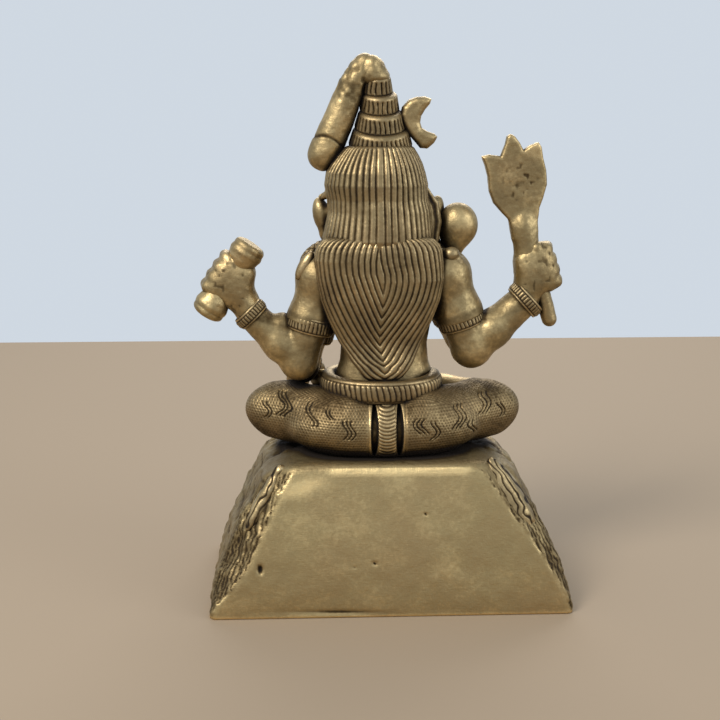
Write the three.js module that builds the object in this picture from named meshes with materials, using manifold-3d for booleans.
// Seated four-armed Shiva figure in brass on a hollow rock-shaped pedestal.
// Millimetres, +Z up. The figure faces -Y and +X is its own left-hand side.
// The origin is the middle of the statue's footprint, on the surface it stands on.
import * as THREE from "three";
import { ConvexGeometry } from "three/addons/geometries/ConvexGeometry.js";
import { mergeVertices } from "three/addons/utils/BufferGeometryUtils.js";
import Module from "manifold-3d";

const wasm = await Module();
wasm.setup();

// ---- Driving dimensions ---------------------------------------------------
const gap = 0.3; // braze clearance between neighbouring pieces
const pedestalX = -1.2; // the rock stands a little to the figure's right
const pedestalProfile = [ // [height, half width, half depth, corner chamfer]
  [0, 46.2, 28, 3], [10.5, 44.2, 27.1, 4.5], [21.5, 38.9, 24.9, 6], [30.5, 33.8, 22.6, 7.5],
  [38, 30, 20.2, 9],
];
const cavity = { z: 33, halfWidthLow: 40, halfDepthLow: 22.5, halfWidthHigh: 26.5, halfDepthHigh: 15 };
const seatZ = 46; // middle of the thighs
const waistZ = 54; // middle of the belt
const shoulderZ = 86;
const headZ = 103; // middle of the head
const crownZ = 118.4; // middle of the lowest hair coil
const backwardLean = THREE.MathUtils.degToRad(18); // of the hair coils
const rearArmY = 1.5; // the raised pair of arms
const frontArmY = -6; // the lowered pair of arms
const left = 1;
const right = -1;

// ---- Small helpers --------------------------------------------------------
const at = (x, y, z) => new THREE.Vector3(x, y, z);
const along = (a, b, share) => a.clone().lerp(b, share);
const unit = (a, b) => b.clone().sub(a).normalize();

// A closed three.js geometry as a solid, with its shared vertices merged.
function solid(geometry) {
  const source = geometry.index ? geometry.toNonIndexed() : geometry;
  const bare = new THREE.BufferGeometry().setAttribute("position", source.getAttribute("position"));
  const merged = mergeVertices(bare, 1e-4);
  const triangles = [];
  for (let i = 0; i < merged.index.count; i += 3) {
    const [a, b, c] = [0, 1, 2].map((k) => merged.index.getX(i + k));
    if (a !== b && b !== c && a !== c) triangles.push(a, b, c);
  }
  const mesh = new wasm.Mesh({
    numProp: 3,
    vertProperties: merged.attributes.position.array,
    triVerts: new Uint32Array(triangles),
  });
  return new wasm.Manifold(mesh);
}

function geometryOf(body) {
  const mesh = body.getMesh();
  return new THREE.BufferGeometry()
    .setAttribute("position", new THREE.BufferAttribute(mesh.vertProperties, 3))
    .setIndex(new THREE.BufferAttribute(mesh.triVerts, 1));
}

// ---- Shapes ---------------------------------------------------------------
// A shape is a function of how far it is grown, in millimetres, that returns a solid.
// Growing a shape makes the room that its neighbours leave around it.

const turned = (geometry, direction) => {
  const quaternion = new THREE.Quaternion().setFromUnitVectors(at(0, 1, 0), direction);
  return geometry.applyQuaternion(quaternion);
};

// A limb: a cone from a to b with round ends.
const limb = (a, b, radiusA, radiusB, sides = 9) => (grow) => {
  const steps = 2;
  const profile = [];
  for (let i = 0; i <= steps; i++) {
    const angle = (Math.PI / 2) * (i / steps - 1);
    const x = i === 0 ? 0 : (radiusA + grow) * Math.cos(angle);
    profile.push(new THREE.Vector2(x, (radiusA + grow) * Math.sin(angle)));
  }
  for (let i = 0; i <= steps; i++) {
    const angle = (Math.PI / 2) * (i / steps);
    const x = i === steps ? 0 : (radiusB + grow) * Math.cos(angle);
    profile.push(new THREE.Vector2(x, a.distanceTo(b) + (radiusB + grow) * Math.sin(angle)));
  }
  const geometry = turned(new THREE.LatheGeometry(profile, sides), unit(a, b));
  return solid(geometry.translate(a.x, a.y, a.z));
};

// A rounded lump with its own radius on each axis, turned by Euler angles in degrees.
const lump = (centre, radii, turn = [0, 0, 0], sides = 10) => (grow) => {
  const geometry = new THREE.SphereGeometry(1, sides, Math.round(sides * 0.66));
  geometry.scale(...radii.map((r) => r + grow));
  const angles = turn.map(THREE.MathUtils.degToRad);
  geometry.applyMatrix4(new THREE.Matrix4().makeRotationFromEuler(new THREE.Euler(...angles)));
  return solid(geometry.translate(centre.x, centre.y, centre.z));
};

// Any geometry, grown by stretching it about the middle of its box.
const formed = (make) => (grow) => {
  const geometry = make();
  geometry.computeBoundingBox();
  const middle = geometry.boundingBox.getCenter(at(0, 0, 0));
  const size = geometry.boundingBox.getSize(at(0, 0, 0));
  const stretch = [size.x, size.y, size.z].map((length) => 1 + (2 * grow) / length);
  geometry.translate(-middle.x, -middle.y, -middle.z).scale(...stretch);
  return solid(geometry.translate(middle.x, middle.y, middle.z));
};

// A turned form about Z, given as [radius, z] pairs from bottom to top, squashed front to back.
const turnedForm = (pairs, centreX, centreY, depthShare, sides = 16) => formed(() => {
  const profile = pairs.map(([radius, z]) => new THREE.Vector2(radius, z));
  const geometry = new THREE.LatheGeometry(profile, sides).rotateX(Math.PI / 2);
  return geometry.scale(1, depthShare, 1).translate(centreX, centreY, 0);
});

// A disc with eased rims, standing across direction.
const collar = (centre, direction, radius, thickness, sides = 12) => formed(() => {
  const half = thickness / 2;
  const ease = thickness * 0.2;
  const pairs = [[0, -half], [radius - ease, -half], [radius, -half + ease]];
  const profile = [...pairs, ...pairs.toReversed().map(([x, y]) => [x, -y])];
  const points = profile.map(([x, y]) => new THREE.Vector2(x, y));
  const geometry = turned(new THREE.LatheGeometry(points, sides), direction);
  return geometry.translate(centre.x, centre.y, centre.z);
});

// A round bar that follows a smooth curve through the points.
const bar = (points, radius, steps = 14, sides = 6) => (grow) => {
  const corners = [];
  for (let i = 0; i < sides; i++) {
    const angle = (2 * Math.PI * i) / sides;
    corners.push(new THREE.Vector2(Math.cos(angle), Math.sin(angle)).multiplyScalar(radius + grow));
  }
  const section = new THREE.Shape(corners);
  const extrudePath = new THREE.CatmullRomCurve3(points, false, "centripetal");
  return solid(new THREE.ExtrudeGeometry(section, { steps, extrudePath }));
};

// A flat outline in the X-Z plane given thickness along Y, with a small bevel all round.
const plate = (outline, middleY, thickness, bevel = 0.6) => formed(() => {
  const options = { depth: thickness - 2 * bevel, bevelSize: bevel, bevelThickness: bevel };
  const geometry = new THREE.ExtrudeGeometry(outline, { ...options, bevelSegments: 1, curveSegments: 10 });
  return geometry.rotateX(Math.PI / 2).translate(0, middleY + thickness / 2 - bevel, 0);
});

const box = (low, high) => (grow) => {
  const size = high.clone().sub(low).addScalar(2 * grow);
  const middle = along(low, high, 0.5);
  return solid(new THREE.BoxGeometry(size.x, size.y, size.z).translate(middle.x, middle.y, middle.z));
};

const joined = (...shapes) => (grow) => shapes.map((s) => s(grow)).reduce((a, b) => a.add(b));
const without = (shape, cutter) => (grow) => shape(grow).subtract(cutter(0));
const within = (shape, limit) => (grow) => shape(grow).intersect(limit(grow));

// The part of a shape on the side of a plane that direction points to.
const beyond = (shape, point, direction) => (grow) => {
  const offset = direction.dot(point) - grow;
  return shape(grow).trimByPlane(direction.toArray(), offset);
};
const before = (shape, point, direction) => beyond(shape, point, direction.clone().negate());

// ---- Pedestal and tiger skin ----------------------------------------------
const pedestalBlock = (grow) => {
  const corners = [];
  for (const [height, halfWidth, halfDepth, chamfer] of pedestalProfile) {
    const x = halfWidth + grow;
    const y = halfDepth + grow;
    const z = height === 0 ? -grow : height + grow;
    for (const [sx, sy] of [[1, 1], [1, -1], [-1, 1], [-1, -1]]) {
      corners.push(at(pedestalX + sx * x, sy * (y - chamfer), z));
      corners.push(at(pedestalX + sx * (x - chamfer), sy * y, z));
    }
  }
  return solid(new ConvexGeometry(corners));
};

const hollow = () => {
  const corners = [];
  for (const [sx, sy] of [[1, 1], [1, -1], [-1, 1], [-1, -1]]) {
    corners.push(at(pedestalX + sx * cavity.halfWidthLow, sy * cavity.halfDepthLow, -1));
    corners.push(at(pedestalX + sx * cavity.halfWidthHigh, sy * cavity.halfDepthHigh, cavity.z));
  }
  return solid(new ConvexGeometry(corners));
};

const pedestal = without(pedestalBlock, hollow);

// The skin's flap lies on the pedestal's front face, as a shell as thick as the hide.
const skinThickness = 1.8;
const skinFlap = (grow) => {
  const outline = new THREE.Shape();
  outline.moveTo(-20, 37.5).lineTo(16, 37.5).lineTo(13, 26);
  outline.quadraticCurveTo(6, 17, -2, 17).quadraticCurveTo(-10, 17, -17, 26);
  const curtain = plate(outline, -24, 14, 0.1);
  return curtain(grow).intersect(pedestalBlock(skinThickness + grow)).subtract(pedestalBlock(gap));
};
const tigerHead = joined(
  lump(at(-2, -26.5, 13), [7, 4.5, 6.5]),
  lump(at(-2, -29, 10), [3.6, 3, 3.2], [0, 0, 0], 10),
);
const frontPaw = (side) => limb(
  at(-2 + side * 19, -22.5, 33), at(-2 + side * 26, -26.5, 12), 3, 3.6, 8,
);
const hindLeg = (side) => limb(
  at(pedestalX + side * 27.8, 17.6, 35.4), at(pedestalX + side * 36.4, 21.6, 22), 3.3, 2.6, 8,
);

// ---- Body -----------------------------------------------------------------
const torso = turnedForm(
  [[0, 51], [12.8, 51], [13.2, 56], [11.6, 60.5], [11, 65], [12, 71], [14, 78], [15, 83.5],
    [14, 87.5], [9, 90], [0, 91]],
  -0.6, -1, 0.56, 14,
);
const neck = limb(at(0, -1.5, 87), at(0, -2, 95), 5.4, 5.4);
const head = joined(
  lump(at(0.4, -3, headZ), [10.4, 10.8, 12.3], [0, 0, 0], 14),
  lump(at(0.4, -6, headZ - 6), [8, 7, 6.5]),
);
const knee = (side) => at(side * 28.6 - (side === right ? 1.2 : 0), -4, seatZ + 0.2);
const thigh = (side) => limb(at(side * 10, 8, seatZ), knee(side), 8.6, 7.7, 10);
const hips = joined(
  thigh(left),
  thigh(right),
  lump(at(0, 8.4, seatZ - 2), [24, 9.8, 8.6], [0, 0, 0], 14),
  lump(at(0, -5, seatZ - 0.5), [22, 13, 6.6], [0, 0, 0], 12),
);

// A channel down the back of the garment holds the pleat, with a slot on either side of it.
const pleat = { halfWidth: 2.2, slot: 2.3, depth: 2.4 };
const channel = (halfWidth, depth) => (grow) => {
  const column = box(at(-halfWidth, 9, seatZ - 9), at(halfWidth, 22, waistZ))(grow);
  return column.subtract(hips(-depth));
};
const garment = without(hips, channel(pleat.halfWidth + pleat.slot, pleat.depth));
const backPleat = within(
  (grow) => hips(grow - 0.1),
  channel(pleat.halfWidth, pleat.depth - gap),
);
const belt = (grow) => {
  const ring = new THREE.TorusGeometry(14.3, 2.35 + grow * 1.2, 7, 20);
  return solid(ring.scale(1, 0.84, 1.16).translate(0, 0.8, waistZ));
};

const ankle = { [left]: at(-2, -19, 43.4), [right]: at(4, -17.5, 50.6) };
const shin = (side) => limb(
  at(side * 27, -9, seatZ - side), ankle[side], 6, 4.2,
);
const foot = (side) => limb(
  ankle[side].clone().add(at(-side * 4, 1, 0.2)),
  ankle[side].clone().add(at(-side * 13, 3, 1)), 3.7, 2.7, 8,
);

// ---- Head dress -----------------------------------------------------------
const coilRadii = [8, 7.2, 5.5, 4.1];
const coilHeight = 4.4;
const knotAxis = (height) => at(0.6 + 0.0095 * height ** 2, 0.6, crownZ + height);
const coil = (index) => {
  const lean = at(0, Math.sin(backwardLean), Math.cos(backwardLean));
  return collar(knotAxis(index * coilHeight), lean, coilRadii[index], coilHeight - gap, 14);
};
const knotTip = lump(knotAxis(16.6), [4, 4, 3.9]);
const stream = limb(at(7.3, 0.4, 133.9), at(15.4, -1.2, 113.8), 3.4, 3.7);

const crescent = (() => {
  const outer = { x: -10.2, z: 122.3, radius: 5.7 };
  const inner = { x: -13.9, z: 122.3, radius: 4.4 };
  const outline = new THREE.Shape();
  outline.absarc(outer.x, outer.z, outer.radius, -1.9, 1.9, false);
  outline.absarc(inner.x, inner.z, inner.radius, 1.1, -1.1, true);
  return plate(outline, 1, 4);
})();

const hairCap = turnedForm(
  [[0, 90.5], [15.2, 91], [14.4, 96], [13.5, 102.6], [12.4, 109], [9.4, 115.2], [7, 117], [0, 117.6]],
  1, 1.6, 0.82, 16,
);
const mane = turnedForm(
  [[0, 56.6], [2.2, 57.2], [6, 59.6], [11, 64.4], [14.2, 71], [16, 77], [16.6, 83.6], [15.6, 90], [13, 92],
    [0, 92.6]],
  1.2, 6.2, 0.47, 16,
);
const earring = (side) => lump(at(side * 15.2, -2.6, 97.8), [2.7, 3, 5.6], [0, 0, 0], 8);

// ---- Serpent and beads ----------------------------------------------------
const serpentHood = joined(
  lump(at(-20, -3, 95.8), [4.8, 4, 5.4]),
  limb(at(-19, -2.6, 92.5), at(-18.4, -1.6, 89.4), 2.6, 2.2, 8),
);
const serpentBody = bar(
  [at(21.4, 3, 83.4), at(19.6, 1.4, 88), at(13.4, -3.6, 90.6), at(7, -9.4, 89), at(0, -11.6, 87.4),
    at(-7, -9.8, 89), at(-13, -4.2, 90.8), at(-17.2, -0.8, 87.4)],
  2, 18,
);
const necklace = bar(
  [at(11.4, -7.6, 85.4), at(8, -9.6, 80.6), at(0, -10.6, 77.4), at(-8, -9.6, 80.6), at(-11.4, -7.6, 85.4)],
  1.5, 12,
);

// ---- Arms -----------------------------------------------------------------
const band = { radius: 6, thickness: 4.6 };
const cuff = { radius: 5, thickness: 3, share: 0.97 };

// An arm in four pieces, parted by its armband and its bracelet.
function arm({ shoulder, elbow, wrist, radii, bandShare = 0.62, scale = 1 }) {
  const down = unit(shoulder, elbow);
  const out = unit(elbow, wrist);
  const bandMiddle = along(shoulder, elbow, bandShare);
  const cuffMiddle = along(elbow, wrist, cuff.share);
  const upperLimb = limb(shoulder, elbow, radii[0], radii[1]);
  const foreLimb = limb(elbow, along(elbow, wrist, 1.2), radii[1], radii[2]);
  const bandEdge = (sign) => bandMiddle.clone().addScaledVector(down, sign * (band.thickness / 2 + gap));
  const cuffEdge = cuffMiddle.clone().addScaledVector(out, -(cuff.thickness / 2 + gap));
  return {
    upper_arm: before(upperLimb, bandEdge(-1), down),
    armband: collar(bandMiddle, down, band.radius * scale, band.thickness),
    forearm: joined(beyond(upperLimb, bandEdge(1), down), before(foreLimb, cuffEdge, out)),
    bracelet: collar(cuffMiddle, out, cuff.radius * scale, cuff.thickness),
  };
}

const arms = {
  rear_left: arm({
    shoulder: at(15.4, rearArmY, shoulderZ - 2), elbow: at(21.6, rearArmY, 60),
    wrist: at(34.6, rearArmY, 73.8), radii: [5.8, 5.2, 4.1], bandShare: 0.55,
  }),
  rear_right: arm({
    shoulder: at(-15.8, rearArmY, shoulderZ - 2), elbow: at(-23.4, rearArmY, 64),
    wrist: at(-37.8, rearArmY, 77), radii: [5.7, 5.2, 4.2],
  }),
  front_left: arm({
    shoulder: at(14, frontArmY, shoulderZ - 3.5), elbow: at(20.4, frontArmY - 0.5, 57.5),
    wrist: at(20, -17.6, 56.6), radii: [5, 4.7, 3.8], scale: 0.9,
  }),
  front_right: arm({
    shoulder: at(-14, frontArmY, shoulderZ - 3.5), elbow: at(-22.2, frontArmY - 1, 65.5),
    wrist: at(-17.6, -17.4, 73.6), radii: [5, 4.7, 3.6], scale: 0.9,
  }),
};

// A closed fist: four fingers wrap round the grip on its outward side.
function fist(centre, grip, outward) {
  const knuckle = (index, depth) => centre.clone()
    .addScaledVector(grip, (index - 1.5) * 3.1).addScaledVector(outward, 3.9).add(at(0, depth, 0));
  const fingers = [0, 1, 2, 3].map((i) => limb(knuckle(i, 2.4), knuckle(i, -3), 1.9, 1.8, 6));
  const tilt = THREE.MathUtils.radToDeg(Math.atan2(grip.x, grip.z));
  const palm = lump(centre, [5.6, 4.8, 7.6], [0, tilt, 0]);
  const thumbRoot = centre.clone().addScaledVector(outward, -2.4).add(at(0, -3.2, 0));
  const thumbTip = centre.clone().addScaledVector(outward, 2).addScaledVector(grip, 3).add(at(0, -4.4, 0));
  return joined(palm, limb(thumbRoot, thumbTip, 2, 1.7, 6), ...fingers);
}

// An open hand: four straight fingers and a thumb spread from the palm.
function openHand(wrist, forward, across, thumbSide) {
  const spot = (f, a) => wrist.clone().addScaledVector(forward, f).addScaledVector(across, a);
  const lengths = [13.6, 15, 14.2, 12];
  const fingers = lengths.map((length, i) => {
    const a = (i - 1.5) * 2.3 * -thumbSide;
    return limb(spot(5, a), spot(length, a * 1.06), 1.4, 1.15, 6);
  });
  const thumb = limb(spot(2.6, thumbSide * 3), spot(7.4, thumbSide * 5.4), 1.6, 1.3, 6);
  const heel = limb(spot(2, 0), spot(4, 0), 3.6, 3.6, 10);
  const palm = limb(spot(5.6, -2.2), spot(5.6, 2.2), 2.5, 2.5, 8);
  return joined(heel, palm, thumb, ...fingers);
}

const drumEnds = [at(33.6, rearArmY, 91.4), at(45.6, rearArmY, 73.4)];
const drumGrip = unit(...drumEnds);
const drumFist = fist(at(38.9, rearArmY, 81.6), drumGrip, at(-drumGrip.z, 0, drumGrip.x));
const shaftFoot = at(-43.2, rearArmY, 70.4);
const shaftNeck = at(-35.4, rearArmY, 97);
const shaftGrip = unit(shaftFoot, shaftNeck);
const tridentFist = fist(
  at(-40.4, rearArmY, 84.8), shaftGrip, at(-shaftGrip.z, 0, shaftGrip.x),
);
const blessingHand = openHand(at(-17.4, -18.6, 75.6), at(0, -0.12, 1).normalize(), at(1, 0, 0), 1);
const restingHand = openHand(at(20, -19.6, 56.4), at(0.1, -0.78, -0.62).normalize(), at(1, 0, 0), -1);

// ---- What the raised hands hold -------------------------------------------
const drum = formed(() => {
  const length = drumEnds[0].distanceTo(drumEnds[1]);
  const pairs = [[0, 0], [3.4, 0.2], [4.6, 1.4], [4.4, 4.6], [2.4, 8], [1.9, length / 2]];
  const mirrored = pairs.slice(0, -1).toReversed().map(([r, y]) => [r, length - y]);
  const profile = [...pairs, ...mirrored].map(([r, y]) => new THREE.Vector2(r, y));
  const geometry = turned(new THREE.LatheGeometry(profile, 14), drumGrip);
  return geometry.translate(drumEnds[0].x, drumEnds[0].y, drumEnds[0].z);
});

const trident = (() => {
  const outline = new THREE.Shape();
  outline.moveTo(-38.6, 93).lineTo(-33, 93).lineTo(-31, 98.6);
  outline.quadraticCurveTo(-27.4, 101, -27.2, 106).lineTo(-26.6, 110.4).lineTo(-25.2, 113.9);
  outline.lineTo(-29.4, 112.9).lineTo(-30.8, 117.4);
  outline.quadraticCurveTo(-32.4, 120.6, -34, 117.6).lineTo(-35.6, 115.5);
  outline.lineTo(-40.6, 117.3).lineTo(-42, 107).quadraticCurveTo(-41.6, 101, -39.2, 97.4);
  outline.closePath();
  const blade = plate(outline, rearArmY, 2.8, 0.5);
  return joined(blade, limb(shaftFoot, shaftNeck, 2.3, 2.2, 8));
})();

// ---- Assembly -------------------------------------------------------------
const brass = (name, color, roughness) => new THREE.MeshStandardMaterial({
  name, color, roughness, metalness: 1,
});
const finishes = {
  pedestal: brass("pedestal_brass", 0x9a8252, 0.42),
  skin: brass("polished_brass", 0xb0935a, 0.34),
  carved: brass("carved_brass", 0x8c7447, 0.4),
};

const statue = new THREE.Group();
const taken = []; // the room that the pieces placed so far take up

// Adds a piece, cut back to clear every piece placed before it.
function place(name, shape, finish) {
  const body = taken.reduce((rest, room) => rest.subtract(room), shape(0));
  const largest = body.decompose().reduce((a, b) => (b.volume() > a.volume() ? b : a));
  const mesh = new THREE.Mesh(geometryOf(largest), finish);
  mesh.name = name;
  statue.add(mesh);
  taken.push(shape(gap));
}

place("pedestal", pedestal, finishes.pedestal);
place("tiger_skin_head", tigerHead, finishes.carved);
for (const [name, side] of [["left", left], ["right", right]]) {
  place(`tiger_skin_${name}_forepaw`, frontPaw(side), finishes.carved);
  place(`tiger_skin_${name}_hind_leg`, hindLeg(side), finishes.carved);
}
place("tiger_skin_flap", skinFlap, finishes.carved);

place("torso", torso, finishes.skin);
place("head", head, finishes.skin);
place("neck", neck, finishes.skin);
place("waist_belt", belt, finishes.carved);
place("dhoti", garment, finishes.carved);
place("dhoti_back_pleat", backPleat, finishes.carved);
for (const [name, side] of [["left", left], ["right", right]]) {
  place(`${name}_shin`, shin(side), finishes.skin);
  place(`${name}_foot`, foot(side), finishes.skin);
}

for (const [name, pieces] of Object.entries(arms)) {
  for (const [piece, shape] of Object.entries(pieces)) {
    place(`${name}_${piece}`, shape, piece.endsWith("arm") ? finishes.skin : finishes.carved);
  }
}
place("damaru_drum", drum, finishes.skin);
place("trident", trident, finishes.skin);
place("rear_left_hand", drumFist, finishes.skin);
place("rear_right_hand", tridentFist, finishes.skin);
place("front_left_hand", restingHand, finishes.skin);
place("front_right_hand", blessingHand, finishes.skin);

place("left_earring", earring(left), finishes.skin);
place("right_earring", earring(right), finishes.skin);
coilRadii.forEach((_, index) => place(`topknot_coil_${index + 1}`, coil(index), finishes.carved));
place("topknot_tip", knotTip, finishes.skin);
place("ganga_stream", stream, finishes.skin);
place("crescent_moon", crescent, finishes.skin);
place("serpent_hood", serpentHood, finishes.skin);
place("serpent_body", serpentBody, finishes.carved);
place("bead_necklace", necklace, finishes.carved);
place("hair_cap", hairCap, finishes.carved);
place("hair_mane", mane, finishes.carved);

// The origin goes to the middle of the whole outline, on the surface the statue stands on.
const outlineMiddle = new THREE.Box3().setFromObject(statue).getCenter(at(0, 0, 0));
statue.position.set(-outlineMiddle.x, -outlineMiddle.y, 0);

export default statue;
